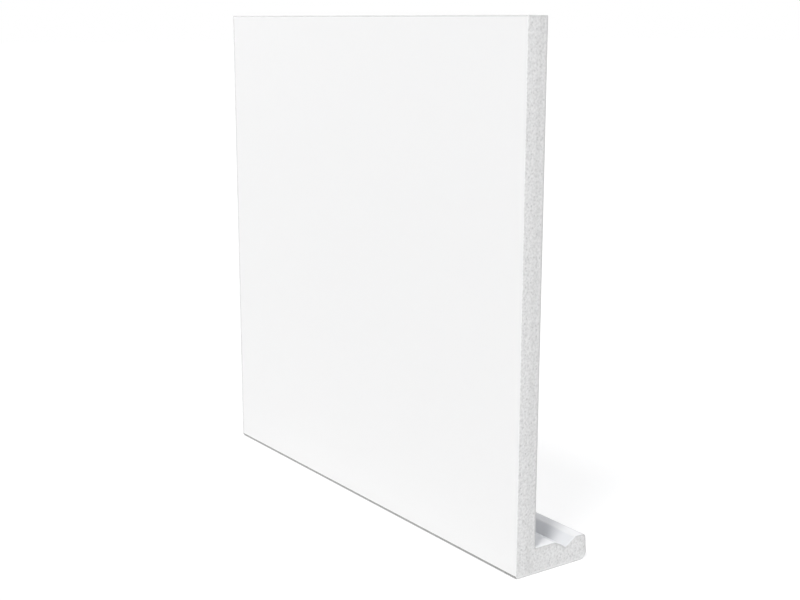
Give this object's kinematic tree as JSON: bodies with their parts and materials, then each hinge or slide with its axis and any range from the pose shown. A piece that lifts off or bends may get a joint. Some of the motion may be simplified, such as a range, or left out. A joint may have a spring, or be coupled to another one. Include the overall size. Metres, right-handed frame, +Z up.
{
  "type": "fascia board",
  "caption": "White cellular PVC fascia board with a grooved return leg behind its foot, cut to a short length, for covering rafter feet and carrying a soffit.",
  "frame": {"origin": "midway along the board and midway across it from front face to the leg's rear edge, at the underside", "axes": "+X along the board, +Y from its front face to its back, +Z up"},
  "size_m": [0.2326, 0.0386, 0.225],
  "materials": {
    "board": "white satin skin, finely pitted where it is sawn"
  },
  "bodies": {
    "root": {"fascia_board": "board"}
  },
  "joints": []
}
